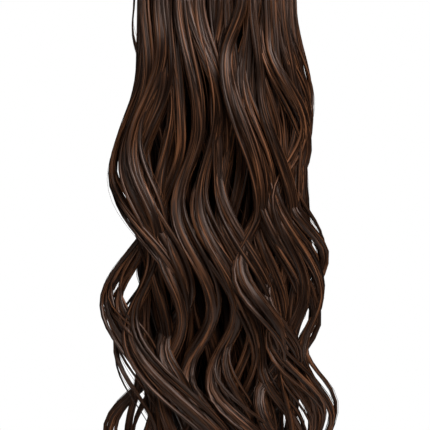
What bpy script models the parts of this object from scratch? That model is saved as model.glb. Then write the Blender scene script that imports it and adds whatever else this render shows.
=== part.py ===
"""Ponytail hairpiece: long, loosely waved locks of false hair in three wefts, sewn to an oval base.

Metres, +Z up. The origin is on the back of the comb's spine, where the piece pins on to the head. The
wearer's head is at +Y, the hair falls in front at -Y, and +X is to the right of someone who looks at it.

Sizes are in millimetres and become metres in the mesh functions. A height is given as a drop: the distance
down from the origin. Each lock is one row of a table. The row holds the places where the lock's wave turns
back, as (drop, across) pairs, and the lock swings from one turn to the next as half a cosine wave.
"""

import math
from collections import namedtuple

import bmesh
import bpy
import numpy as np

MM = 0.001
GAP = 0.3  # running clearance between pieces that touch

# The oval base that the wefts are sewn to, and the comb behind it
COMB_WIDTH = 58.0
SPINE_HEIGHT = 7.0
SPINE_DEPTH = 2.4
TOOTH_DEPTH = 1.4
TOOTH_LENGTH = 30.0
TOOTH_WIDTH = 1.7
TOOTH_COUNT = 15
TOOTH_TIP_STEPS = 3
SPINE_INSET = 0.5  # the spine's thick rib stops this far inside the plate's outline
BASE_HALF_WIDTH = 46.0
BASE_HALF_HEIGHT = 33.0
BASE_DEPTH = 3.0
BASE_SIDES = 32
BASE_BACK_Y = -SPINE_DEPTH - GAP
BASE_FRONT_Y = BASE_BACK_Y - BASE_DEPTH
WEFT_Y = BASE_FRONT_Y - GAP  # where the sewn heads of the wefts begin

# The envelope of the hanging hair, seen from above: a flattened oval that the wefts line. Each weft keeps to
# its own side of MIDDLE_Y by SIDE_ROOM, and bulges away from it towards the middle of the hair.
FALL_DROP = 50.0  # the locks hang free of the base from here down
MIDDLE_Y = -24.0
SIDE_ROOM = 5.5
FRONT_BULGE = 26.0
BACK_BULGE = 20.0
HALF_WIDTHS = ((-40.0, 58.0), (50.0, 67.0), (150.0, 80.0), (290.0, 89.0), (420.0, 95.0), (530.0, 90.0))
WIDEST_SHARE = 0.98  # a lock beyond this share of the half width keeps the depth found there
SIDE_LEAN = 0.7  # how far a lock's outward face turns to the side at the edge of the hair

# A wave is a flattened helix: a lock stands forward where it swings to +X on its way down, and back on its
# return
SIDE_HELIX = 2.0
FRONT_HELIX = 10.0
BACK_HELIX = 6.0
MIDDLE_HELIX = 4.0

# In a table of locks, across is the lock's place at FALL_DROP, lift is how far it stands out over its
# neighbours, tip is its end, and turns are the places where its wave turns back
Lock = namedtuple("Lock", "name width thick lift across tip turns")
FRONT_LOCKS = (
    Lock("left_outer", 7, 5, 2, -60, (500, -66),
         ((92, -60), (188, -82), (243, -58), (293, -78), (340, -60), (400, -70), (450, -56))),
    Lock("left_sweep", 14, 7, 6, -56, (522, 10),
         ((102, -54), (174, -74), (250, -48), (312, -66), (425, 14), (475, 2))),
    Lock("left_inner", 15, 7, 4, -42, (490, -30),
         ((110, -39), (187, -61), (288, -23), (329, -42), (376, -22), (430, -38))),
    Lock("left_curl", 10, 6, 1, -48, (495, -54),
         ((130, -33), (212, -46), (290, -87), (370, -48), (430, -62))),
    Lock("left_curl_inner", 5, 4, 0, -38, (470, -58),
         ((120, -36), (212, -42), (291, -77), (345, -46), (400, -66))),
    Lock("left_low", 9, 6, 0, -33, (505, -72),
         ((160, -27), (245, -50), (325, -36), (397, -85), (455, -66))),
    Lock("middle_left", 14, 7, 3, -28, (510, 6),
         ((150, -13), (217, -30), (297, -2), (354, -24), (415, 14), (465, 0))),
    Lock("middle", 13, 7, 4, -13, (520, 44),
         ((137, 3), (213, -12), (298, 18), (354, -2), (418, 48), (468, 36))),
    Lock("centre_deep", 11, 6, -1, -2, (490, 20),
         ((160, 12), (235, 4), (310, 30), (370, 14), (430, 26))),
    Lock("centre_under", 11, 6, 1, 6, (510, 36),
         ((95, 1), (190, 3), (305, 48), (347, 36), (400, 46), (455, 28))),
    Lock("centre_right", 12, 7, 10, 21, (516, 56),
         ((100, 8), (210, 36), (260, 19), (327, 54), (368, 34), (430, 62), (480, 50))),
    Lock("right_fall", 12, 7, 3, 28, (505, 78),
         ((120, 24), (203, 36), (294, 70), (326, 56), (385, 80), (440, 66))),
    Lock("right_long", 8, 6, 4, 33, (500, 82),
         ((110, 21), (200, 46), (286, 85), (336, 70), (380, 93), (440, 74))),
    Lock("right_middle", 9, 6, 5, 40, (480, 66),
         ((78, 37), (168, 73), (212, 60), (258, 86), (322, 54), (372, 63), (420, 54))),
    Lock("right_low", 8, 6, 0, 44, (500, 60),
         ((110, 42), (165, 52), (228, 33), (302, 55), (345, 44), (403, 69), (455, 54))),
    Lock("right_side", 12, 6, 2, 52, (475, 56),
         ((66, 52), (158, 71), (200, 69), (236, 71), (312, 60), (360, 64), (410, 56))),
    Lock("right_outer", 10, 6, 0, 63, (465, 70),
         ((138, 77), (190, 64), (238, 63), (302, 80), (342, 60), (388, 86))),
)

# The hidden wefts repeat one wave across the width. Each row gives the number of locks, their size, how far
# the row reaches each way, the wave's first turn, its half length, how that shrinks, its swing, and the ends.
Row = namedtuple("Row", "count width thick reach first_turn half_wave shrink swing shortest longest")
MIDDLE_ROW = Row(5, 27, 24, 45, 130, 88, 0.95, 6, 440, 490)
BACK_ROW = Row(8, 24, 8, 50, 120, 88, 0.95, 8, 455, 515)
GOLDEN_SHARE = 0.618034  # steps of this share give each lock a lag and a length unlike its neighbours'
LAG_SHARE = 0.5  # the longest lag, as a share of the half wave
LAST_WAVE_SHARE = 0.4  # a wave turns once more only where this share of it is left
# How near the middle a hidden lock hangs at each drop, as a share of its place where the row is widest
GATHER = ((50, 0.8), (120, 1.0), (300, 1.0), (400, 0.84), (500, 0.7))

# Each weft: its sewn head (half width, low and high edge, depth), the share that gathers its roots across,
# how deep and how high the roots stand in the head, the way they leave it, and the reach of the arch above the
# fall. The front weft's head and roots follow the upper edge of the base, so its heights count from there.
Weft = namedtuple("Weft", "half_width low high depth gather root_depth root_height leave reach")
FRONT = Weft(40.0, -11.0, -1.0, 7.0, 0.61, 4.0, -6.0, (8.0, -14.0, 18.0), 45.0)
MIDDLE = Weft(30.0, -8.0, 8.0, 24.0, 0.6, 19.0, 0.0, (0.0, 0.0, -12.0), 15.0)
BACK = Weft(30.0, -27.0, -15.0, 8.0, 0.42, 4.5, -24.0, (0.0, -2.0, -26.0), 14.0)
SIDE_DIP = 6.0  # a front lock at the end of the seam leaves it so much less steeply
HEAD_COLUMNS = 13

# Shares of a lock's full width along its length: gathered at the sewn root, fullest in the waves, a soft tip
WIDTH_SHARES = ((0.0, 0.75), (0.12, 0.95), (0.35, 1.0), (0.75, 0.95), (0.9, 0.7), (1.0, 0.18))
ARCH_STEPS = 4
LEAST_STEPS = 3  # in each half wave
STEP_LENGTH = 30.0
LENS = ((1.0, 0.0), (0.5, 0.9), (-0.5, 0.9), (-1.0, 0.0), (0.0, -0.9))
DIAMOND = ((1.0, 0.0), (0.0, 1.0), (-1.0, 0.0), (0.0, -1.0))
NARROW = 12.0  # a lock up to this wide has the plainer section

Finish = namedtuple("Finish", "name colour roughness")
HAIR = Finish("hair", (0.028, 0.014, 0.009), 0.42)
NET = Finish("base_net", (0.012, 0.009, 0.008), 0.9)
PLASTIC = Finish("comb_plastic", (0.020, 0.012, 0.008), 0.35)


def clear_scene():
    for obj in list(bpy.data.objects):
        bpy.data.objects.remove(obj)


def material(finish):
    made = bpy.data.materials.new(finish.name)
    made.use_nodes = True
    shader = made.node_tree.nodes["Principled BSDF"]
    shader.inputs["Base Color"].default_value = (*finish.colour, 1.0)
    shader.inputs["Roughness"].default_value = finish.roughness
    shader.inputs["Metallic"].default_value = 0.0
    return made


def add_mesh(name, points_mm, faces, collection=None):
    """An object from points in millimetres and faces, with its normals pointing out."""
    mesh = bpy.data.meshes.new(name)
    mesh.from_pydata([tuple(MM * c for c in p) for p in points_mm], [], faces)
    work = bmesh.new()
    work.from_mesh(mesh)
    bmesh.ops.recalc_face_normals(work, faces=work.faces)
    work.to_mesh(mesh)
    work.free()
    mesh.validate()
    obj = bpy.data.objects.new(name, mesh)
    (collection or bpy.context.scene.collection).objects.link(obj)
    return obj


def read_table(table, at):
    """The table's second column at this value of its first, in straight runs."""
    return float(np.interp(at, [row[0] for row in table], [row[1] for row in table]))


def fullness(across, drop):
    """1 in the middle of the hair and near 0 at its sides: the height of an ellipse over its width."""
    share = min(abs(across) / read_table(HALF_WIDTHS, drop), WIDEST_SHARE)
    return math.sqrt(1 - share**2)


def front_depth(full):
    return MIDDLE_Y - SIDE_ROOM - FRONT_BULGE * full


def back_depth(full):
    return MIDDLE_Y + SIDE_ROOM + BACK_BULGE * full


def inner_depth(full):
    return (front_depth(full) + FRONT_HELIX / 2 + back_depth(full)) / 2


def swing(stops, drop):
    """Across and slope at a drop: half a cosine wave from each stop to the next."""
    for (above, left), (below, right) in zip(stops, stops[1:]):
        if drop <= below:
            turn = math.pi * (drop - above) / (below - above)
            across = left + (right - left) * (1 - math.cos(turn)) / 2
            return across, (right - left) * math.pi / (below - above) * math.sin(turn) / 2
    return stops[-1][1], 0.0


def wave_points(lock, depth, helix):
    """Points down the free length of a lock, a few in each half wave, with one at every turn."""
    stops = ((FALL_DROP, lock.across), *lock.turns, lock.tip)
    drops = [FALL_DROP]
    for (above, _), (below, _) in zip(stops, stops[1:]):
        steps = max(LEAST_STEPS, round((below - above) / STEP_LENGTH))
        drops.extend(np.linspace(above, below, steps + 1)[1:])
    points = []
    for drop in drops:
        across, slope = swing(stops, drop)
        full = fullness(across, drop)
        fade = min(1.0, (drop - FALL_DROP) / FALL_DROP)
        forward = lock.lift + (SIDE_HELIX + (helix - SIDE_HELIX) * full) * slope * fade
        points.append((across, depth(full) - forward, -drop))
    return points


def arch_points(root, leave, fall, reach):
    """A cubic Bezier curve from the sewn root, off in one direction, straight down to the top of the fall."""
    start, end = np.array(root), np.array(fall)
    first, second = start + np.array(leave), end + np.array((0.0, 0.0, reach))
    points = []
    for t in np.linspace(0, 1, ARCH_STEPS + 1)[:-1]:
        near = (1 - t) ** 3 * start + 3 * (1 - t) ** 2 * t * first
        points.append(tuple(near + 3 * (1 - t) * t**2 * second + t**3 * end))
    return points


def base_edge(across):
    """How high the oval base reaches at this place across."""
    return BASE_HALF_HEIGHT * math.sqrt(max(0.0, 1 - (across / BASE_HALF_WIDTH) ** 2))


def broad_sides(points, tangents, outward):
    """The direction of a lock's broad side at each point. It lies across the outward direction where the lock
    hangs free, and is carried on unturned from there back through the arch to the root."""
    broads = []
    for point, tangent in zip(reversed(points), reversed(tangents)):
        if -point[2] >= FALL_DROP:
            broad = np.cross(tangent, outward(point))
        else:
            broad = broads[-1] - tangent * np.dot(broads[-1], tangent)
        broads.append(broad / np.linalg.norm(broad))
    return broads[::-1]


def tube_along(name, points, width, thick, section, outward, collection):
    """A closed tube along the points, with the section's broad side turned to face outward."""
    points = np.array(points)
    steps = np.gradient(points, axis=0)
    tangents = steps / np.linalg.norm(steps, axis=1)[:, None]
    broads = broad_sides(points, tangents, outward)
    lengths = np.concatenate([[0], np.cumsum(np.linalg.norm(np.diff(points, axis=0), axis=1))])
    vertices, faces = [], []
    for point, tangent, broad, length in zip(points, tangents, broads, lengths / lengths[-1]):
        proud = np.cross(broad, tangent)
        share = read_table(WIDTH_SHARES, length)
        for along_broad, along_proud in section:
            offset = broad * along_broad * width / 2 + proud * along_proud * thick / 2
            vertices.append(point + offset * share)
    sides = len(section)
    for ring in range(len(points) - 1):
        for side in range(sides):
            here, there = ring * sides + side, ring * sides + (side + 1) % sides
            faces.append((here, there, there + sides, here + sides))
    faces.append(tuple(range(sides)))
    faces.append(tuple(reversed(range(len(vertices) - sides, len(vertices)))))
    return add_mesh(name, vertices, faces, collection)


def facing(side):
    """The outward direction of a lock on the front (-1) or back (+1) of the hair."""

    def outward(point):
        share = max(-WIDEST_SHARE, min(WIDEST_SHARE, point[0] / read_table(HALF_WIDTHS, -point[2])))
        return np.array((share * SIDE_LEAN, side, 0.0))

    return outward


def head_band(name, weft, arched):
    """The sewn head of a weft: a band on the base's front, which follows the base's edge if it is arched."""
    columns = np.linspace(-weft.half_width, weft.half_width, HEAD_COLUMNS)
    front = WEFT_Y - weft.depth
    points, faces = [], []
    for across in columns:
        rise = base_edge(across) if arched else 0.0
        for y, z in ((WEFT_Y, weft.low), (WEFT_Y, weft.high), (front, weft.high), (front, weft.low)):
            points.append((across, y, z + rise))
    for column in range(len(columns) - 1):
        for corner in range(4):
            here, there = column * 4 + corner, column * 4 + (corner + 1) % 4
            faces.append((here, there, there + 4, here + 4))
    faces.append((0, 1, 2, 3))
    faces.append(tuple(len(points) - 1 - i for i in range(4)))
    return add_mesh(name, points, faces)


def shells_of(work):
    """The separate closed skins in a mesh, each as a list of faces."""
    unseen, shells = set(work.faces), []
    while unseen:
        shell, edge_of_search = [], [unseen.pop()]
        while edge_of_search:
            face = edge_of_search.pop()
            shell.append(face)
            beside = {other for edge in face.edges for other in edge.link_faces} & unseen
            unseen -= beside
            edge_of_search.extend(beside)
        shells.append(shell)
    return shells


def volume(faces):
    total = 0.0
    for face in faces:
        first, *rest = [loop.vert.co for loop in face.loops]
        total += sum(first.dot(a.cross(b)) for a, b in zip(rest, rest[1:]))
    return abs(total) / 6


def fuse(body, collection):
    """Joins the solids of one collection to the body as one outer skin. The pockets that they close between
    them, and any crumb that their crossing edges leave, have smaller skins of their own, which go."""
    union = body.modifiers.new("fused_locks", "BOOLEAN")
    union.operation = "UNION"
    union.operand_type = "COLLECTION"
    union.use_self = True
    union.collection = collection
    seen = body.evaluated_get(bpy.context.evaluated_depsgraph_get())
    fused = bpy.data.meshes.new_from_object(seen)
    body.modifiers.clear()
    work = bmesh.new()
    work.from_mesh(fused)
    outer, *inner = sorted(shells_of(work), key=volume, reverse=True)
    for shell in inner:
        bmesh.ops.delete(work, geom=shell, context="FACES")
    work.to_mesh(body.data)
    work.free()
    for obj in list(collection.objects):
        bpy.data.objects.remove(obj)
    bpy.data.collections.remove(collection)


def helper_collection(name):
    made = bpy.data.collections.new(name)
    bpy.context.scene.collection.children.link(made)
    return made


def front_weft():
    """The locks that show, from a head along the base's upper edge, arched over and down the front."""
    head = head_band("front_weft", FRONT, arched=True)
    locks = helper_collection("front_locks")
    leave_x, leave_y, leave_z = FRONT.leave
    for lock in FRONT_LOCKS:
        fall = wave_points(lock, front_depth, FRONT_HELIX)
        across = lock.across * FRONT.gather
        side = abs(across) / BASE_HALF_WIDTH
        root = (across, WEFT_Y - FRONT.root_depth, base_edge(across) + FRONT.root_height)
        leave = (math.copysign(leave_x * side, across), leave_y - lock.lift, leave_z - SIDE_DIP * side)
        arch = arch_points(root, leave, fall[0], FRONT.reach)
        section = LENS if lock.width > NARROW else DIAMOND
        tube_along(lock.name, arch + fall, lock.width, lock.thick, section, facing(-1), locks)
    fuse(head, locks)
    return head


def row_of_locks(row, name):
    """Locks of one hidden row: each is placed, turned and cut by its number, so that no two run alike."""
    locks = []
    for number in range(row.count):
        place = row.reach * (2 * number / (row.count - 1) - 1)
        golden = (number * GOLDEN_SHARE) % 1.0
        drop = row.first_turn + (golden - 0.5) * row.half_wave * LAG_SHARE
        half_wave, way, turns = row.half_wave, 1 if number % 2 else -1, []
        end = row.shortest + (row.longest - row.shortest) * golden
        while drop < end - half_wave * LAST_WAVE_SHARE:
            turns.append((drop, place * read_table(GATHER, drop) + way * row.swing))
            half_wave *= row.shrink
            drop, way = drop + half_wave, -way
        tip, top = (end, turns[-1][1] - way * row.swing), place * read_table(GATHER, FALL_DROP)
        locks.append(Lock(f"{name}_{number + 1}", row.width, row.thick, 0, top, tip, tuple(turns)))
    return locks


def hidden_weft(name, weft, row, depth, helix, side, first):
    """A weft of one row of locks, whose arches meet their falls at the first point, or at a later one."""
    head = head_band(name, weft, arched=False)
    locks = helper_collection(name + "_locks")
    for lock in row_of_locks(row, name):
        fall = wave_points(lock, depth, helix)[first:]
        root = (lock.across * weft.gather, WEFT_Y - weft.root_depth, weft.root_height)
        arch = arch_points(root, weft.leave, fall[0], weft.reach)
        tube_along(lock.name, arch + fall, lock.width, lock.thick, DIAMOND, facing(side), locks)
    fuse(head, locks)
    return head


def middle_weft():
    """The inner locks, which fill the hair out, from a head across the middle of the base."""
    return hidden_weft("middle_weft", MIDDLE, MIDDLE_ROW, inner_depth, MIDDLE_HELIX, side=-1, first=0)


def back_weft():
    """The locks on the wearer's side, from a head above the base's lower edge, tucked round under it."""
    return hidden_weft("back_weft", BACK, BACK_ROW, back_depth, BACK_HELIX, side=1, first=1)


def base_plate():
    """The oval base: stretch net bound to an edge, here one thin plate."""
    points, faces = [], []
    for y in (BASE_BACK_Y, BASE_FRONT_Y):
        for step in range(BASE_SIDES):
            angle = 2 * math.pi * step / BASE_SIDES
            points.append((BASE_HALF_WIDTH * math.cos(angle), y, BASE_HALF_HEIGHT * math.sin(angle)))
    for step in range(BASE_SIDES):
        after = (step + 1) % BASE_SIDES
        faces.append((step, after, after + BASE_SIDES, step + BASE_SIDES))
    faces.append(tuple(range(BASE_SIDES)))
    faces.append(tuple(reversed(range(BASE_SIDES, 2 * BASE_SIDES))))
    return add_mesh("base", points, faces)


def comb_outline():
    """The comb seen from behind: a spine with round-ended teeth below it, as points (across, height)."""
    half, top, foot = COMB_WIDTH / 2, SPINE_HEIGHT / 2, -SPINE_HEIGHT / 2
    outline = [(-half, top), (-half, foot)]
    pitch = (COMB_WIDTH - TOOTH_WIDTH) / (TOOTH_COUNT - 1)
    for tooth in range(TOOTH_COUNT):
        centre = -half + TOOTH_WIDTH / 2 + tooth * pitch
        if tooth:
            outline.append((centre - TOOTH_WIDTH / 2, foot))
        tip = TOOTH_WIDTH / 2
        for step in range(TOOTH_TIP_STEPS + 1):
            angle = math.pi * (1 + step / TOOTH_TIP_STEPS)
            height = foot - TOOTH_LENGTH + tip * (1 + math.sin(angle))
            outline.append((centre + tip * math.cos(angle), height))
        if tooth < TOOTH_COUNT - 1:
            outline.append((centre + TOOTH_WIDTH / 2, foot))
    outline.extend([(half, foot), (half, top)])
    return outline


def prism(name, outline, back, front, collection=None):
    """An outline in the XZ plane given depth along Y."""
    count = len(outline)
    points = [(x, y, z) for y in (back, front) for x, z in outline]
    faces = [(i, (i + 1) % count, (i + 1) % count + count, i + count) for i in range(count)]
    faces += [tuple(range(count)), tuple(reversed(range(count, 2 * count)))]
    return add_mesh(name, points, faces, collection)


def comb():
    """The comb that slides into the wearer's own hair: a thin toothed plate with a thicker spine."""
    plate = prism("comb", comb_outline(), 0.0, -TOOTH_DEPTH)
    helper = helper_collection("comb_spine")
    half, top = COMB_WIDTH / 2 - SPINE_INSET, SPINE_HEIGHT / 2 - SPINE_INSET
    spine = [(-half, top), (-half, -top), (half, -top), (half, top)]
    prism("spine_rib", spine, -TOOTH_DEPTH / 2, -SPINE_DEPTH, helper)
    fuse(plate, helper)
    return plate


def main():
    clear_scene()
    hair, net, plastic = (material(finish) for finish in (HAIR, NET, PLASTIC))
    for build, finish in (
        (front_weft, hair),
        (middle_weft, hair),
        (back_weft, hair),
        (base_plate, net),
        (comb, plastic),
    ):
        build().data.materials.append(finish)


main()
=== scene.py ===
# %% [markdown]
# # A waved ponytail of false hair
#
# A clip-on ponytail is made of long synthetic fibres, sewn in rows, called wefts, to a small oval base. A
# comb behind the base holds it in the wearer's own hair. The fibres leave the base straight and are set in
# big loose waves below, which gather into locks. Each lock here is one flattened body, with small clumps of
# fibres round it and single strands on both. All of them are closed tubes, worked out from the lock's own
# wave, and each has a place in the bundle, a lag and a little wander of its own.
#
# Sizes are in millimetres until they go into a mesh. A height is given as a drop: the distance down from
# the origin, which is on the back of the comb. The wearer's head is at +Y, and the hair hangs in front of
# it at -Y.

# %% Load the frame
import math
from collections import namedtuple

import bmesh
import bpy
import numpy as np
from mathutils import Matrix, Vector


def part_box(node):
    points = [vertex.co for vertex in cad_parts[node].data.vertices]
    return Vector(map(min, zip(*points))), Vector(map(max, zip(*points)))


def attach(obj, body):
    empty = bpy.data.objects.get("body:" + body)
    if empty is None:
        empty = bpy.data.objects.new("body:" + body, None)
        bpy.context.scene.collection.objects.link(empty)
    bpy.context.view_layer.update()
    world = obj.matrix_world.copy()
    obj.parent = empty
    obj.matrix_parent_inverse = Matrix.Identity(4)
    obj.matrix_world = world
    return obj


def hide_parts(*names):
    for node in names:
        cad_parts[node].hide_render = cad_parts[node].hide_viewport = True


MM = 0.001
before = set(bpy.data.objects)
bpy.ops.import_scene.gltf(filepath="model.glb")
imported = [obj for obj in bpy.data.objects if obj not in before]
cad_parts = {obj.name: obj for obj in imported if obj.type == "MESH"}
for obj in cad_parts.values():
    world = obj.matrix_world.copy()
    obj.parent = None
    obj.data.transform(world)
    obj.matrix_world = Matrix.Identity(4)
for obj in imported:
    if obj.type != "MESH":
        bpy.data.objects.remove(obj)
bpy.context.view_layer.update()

# %% [markdown]
# ## The camera and the light
#
# The photograph looks straight at the hair from the front and is level with its middle. It takes in a
# square stretch of it, below the base and above the tips. A long lens keeps the perspective flat, as a
# product photograph does. The backdrop is white, so the world is white where the camera sees it, and dimmer
# as a light, so that the dark hair keeps its depth.

# %% Camera
SEEN_SIDE = 344.0
SEEN_TOP_DROP = 50.0
FRONT_OF_HAIR = -50.0
LENS = 100.0
SENSOR = 36.0

camera_data = bpy.data.cameras.new("camera")
camera_data.lens = LENS
camera_data.sensor_width = SENSOR
camera = bpy.data.objects.new("camera", camera_data)
bpy.context.scene.collection.objects.link(camera)
distance = SEEN_SIDE * LENS / SENSOR
camera.location = (0.0, (FRONT_OF_HAIR - distance) * MM, -(SEEN_TOP_DROP + SEEN_SIDE / 2) * MM)
camera.rotation_euler = (math.pi / 2, 0.0, 0.0)
bpy.context.scene.camera = camera
print("camera stands", round(distance), "mm in front of the hair")

# %% World and lamps
WORLD_LIGHT = 0.035

world = bpy.data.worlds.new("white_room")
bpy.context.scene.world = world
world.use_nodes = True
tree = world.node_tree
background = tree.nodes["Background"]
background.inputs["Color"].default_value = (1.0, 1.0, 1.0, 1.0)
path = tree.nodes.new("ShaderNodeLightPath")
strength = tree.nodes.new("ShaderNodeMix")
strength.inputs["A"].default_value = WORLD_LIGHT
strength.inputs["B"].default_value = 1.0
tree.links.new(path.outputs["Is Camera Ray"], strength.inputs["Factor"])
tree.links.new(strength.outputs["Result"], background.inputs["Strength"])
bpy.context.scene.view_settings.view_transform = "Standard"

Lamp = namedtuple("Lamp", "name place aim size power")
LAMPS = (
    Lamp("key", (0.72, -1.15, 0.95), (0.0, -0.05, -0.25), 1.2, 64.0),
    Lamp("fill", (-0.9, -1.2, 0.3), (0.0, -0.05, -0.25), 0.8, 5.5),
    Lamp("back", (-0.5, 1.2, 0.7), (0.0, -0.05, -0.2), 0.6, 22.0),
)


def add_lamp(lamp):
    """A square lamp at its place, turned so that its own -Z points at its aim."""
    data = bpy.data.lights.new(lamp.name, "AREA")
    data.size = lamp.size
    data.energy = lamp.power
    obj = bpy.data.objects.new(lamp.name, data)
    bpy.context.scene.collection.objects.link(obj)
    aim = np.array(lamp.aim) - np.array(lamp.place)
    flat = math.hypot(aim[0], aim[1])
    obj.location = lamp.place
    obj.rotation_euler = (math.atan2(flat, -aim[2]), 0.0, math.atan2(-aim[0], aim[1]))


for lamp in LAMPS:
    add_lamp(lamp)
print(len(LAMPS), "soft lamps")

# %% [markdown]
# ## The floor
#
# A small pale disc lies below the tips. It gives the hair some light from beneath in views that look down,
# and it is too small to come into the front view. A brighter world would give that light too, but it would
# also take the depth out of the shadows.

# %% Floor
FLOOR_DROP = 640.0
FLOOR_RADIUS = 800.0
FLOOR_CORNERS = 64
FLOOR_SHADE = (0.8, 0.8, 0.79)
FLOOR_ROUGHNESS = 0.9


def new_mesh_object(name, points, faces):
    """An object of one mesh from an array of points in millimetres and a list of faces."""
    mesh = bpy.data.meshes.new(name)
    mesh.from_pydata((np.asarray(points) * MM).tolist(), [], faces)
    mesh.update()
    obj = bpy.data.objects.new(name, mesh)
    bpy.context.scene.collection.objects.link(obj)
    return obj


def new_material(name):
    """A material with its node tree and its shader."""
    made = bpy.data.materials.new(name)
    made.use_nodes = True
    return made, made.node_tree, made.node_tree.nodes["Principled BSDF"]


def plain_material(name, colour, roughness):
    """A material of one colour and one roughness."""
    made, _, shader = new_material(name)
    shader.inputs["Base Color"].default_value = (*colour, 1.0)
    shader.inputs["Roughness"].default_value = roughness
    return made


turns = np.linspace(0, 2 * np.pi, FLOOR_CORNERS, endpoint=False)
rim = np.stack([np.cos(turns), np.sin(turns), np.zeros_like(turns)], axis=1) * FLOOR_RADIUS
floor = new_mesh_object("floor", rim - np.array((0.0, 0.0, FLOOR_DROP)), [tuple(range(len(turns)))])
floor.data.materials.append(plain_material("pale_floor", FLOOR_SHADE, FLOOR_ROUGHNESS))
print("floor at", -FLOOR_DROP, "mm")

# %% [markdown]
# ## The colour of the fibre
#
# False hair of this shade is a blend: most fibres are a brown near black, and some are chestnut. The blend
# is what gives it its streaks. Streaks in Object coordinates would cut across the waves, so the pattern is
# drawn on the surface of each clump instead: in its UV map, U is a distance round it in millimetres, from a
# start of its own, and V is the distance from its root in metres. Noise that is fine along U and long along
# V is a streak.
#
# Four such noises are added up: one broader than a clump, one about as wide as a clump, one as wide as a
# few fibres, and one finer still. The sum is a tone that picks a colour between three fibre shades. The
# middle two are also the height of a bump, so that the sheen breaks up into fibres. The bright outer hair
# and the dark inner hair share this effect, so it is a node group with the shades as inputs. The inner
# hair's darker shades are painted shade, for the shadow deep between the locks.

# %% Node helpers


def add_socket(group, way, name, kind, value=None):
    """A named input or output of a node group."""
    made = group.interface.new_socket(name=name, in_out=way, socket_type=kind)
    if value is not None:
        made.default_value = value
    return made


def add_node(tree, kind, **settings):
    """A node of this kind, with the settings that aren't sockets."""
    node = tree.nodes.new(kind)
    for name, value in settings.items():
        setattr(node, name, value)
    return node


def math_node(tree, operation, first, second):
    """A Math node. Each of the two is either a socket to link or a number."""
    node = add_node(tree, "ShaderNodeMath", operation=operation)
    for socket, value in zip(node.inputs, (first, second)):
        if isinstance(value, (int, float)):
            socket.default_value = value
        else:
            tree.links.new(value, socket)
    return node.outputs["Value"]


print("helpers for sockets, nodes and sums are ready")

# %% Colour mixes, ranges and bumps
# The colour sockets of a Mix node share their names with its other sockets, so they are found by number
FIRST_COLOUR, SECOND_COLOUR, MIXED_COLOUR = 6, 7, 2
# Noise seldom leaves this range
NOISE_LOW, NOISE_HIGH = 0.3, 0.7


def mix_colours(tree, factor, first, second):
    """The first colour where the factor is 0, and the second where it is 1. Each is a socket or a colour."""
    node = add_node(tree, "ShaderNodeMix", data_type="RGBA")
    tree.links.new(factor, node.inputs["Factor"])
    for number, colour in ((FIRST_COLOUR, first), (SECOND_COLOUR, second)):
        if isinstance(colour, tuple):
            node.inputs[number].default_value = (*colour, 1.0)
        else:
            tree.links.new(colour, node.inputs[number])
    return node.outputs[MIXED_COLOUR]


def map_range(tree, value, low, high, to_low, to_high):
    """A value stretched and held so that low becomes to_low, and high becomes to_high."""
    node = add_node(tree, "ShaderNodeMapRange")
    tree.links.new(value, node.inputs["Value"])
    for name, number in zip(("From Min", "From Max", "To Min", "To Max"), (low, high, to_low, to_high)):
        node.inputs[name].default_value = number
    return node.outputs["Result"]


def add_bump(tree, height, strength, relief):
    """Feeds a height to the shader's normal, as a bump with this relief in millimetres."""
    bump = add_node(tree, "ShaderNodeBump")
    bump.inputs["Strength"].default_value = strength
    bump.inputs["Distance"].default_value = relief * MM
    tree.links.new(height, bump.inputs["Height"])
    tree.links.new(bump.outputs["Normal"], tree.nodes["Principled BSDF"].inputs["Normal"])


print("a Mix node takes colours at", FIRST_COLOUR, "and", SECOND_COLOUR, "and gives one at", MIXED_COLOUR)

# %% The fibre blend, as a node group
Streak = namedtuple("Streak", "across down weight height")
STREAKS = (
    Streak(0.10, 7.0, 0.45, 0.0),
    Streak(0.45, 11.0, 0.85, 0.5),
    Streak(1.3, 18.0, 0.85, 0.5),
    Streak(3.0, 34.0, 0.35, 0.0),
)
DARKEST, BRIGHTEST = 1.05, 1.58
MIDDLE_TONE = (DARKEST + BRIGHTEST) / 2
SLEEK, DULL = 0.27, 0.42


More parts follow.
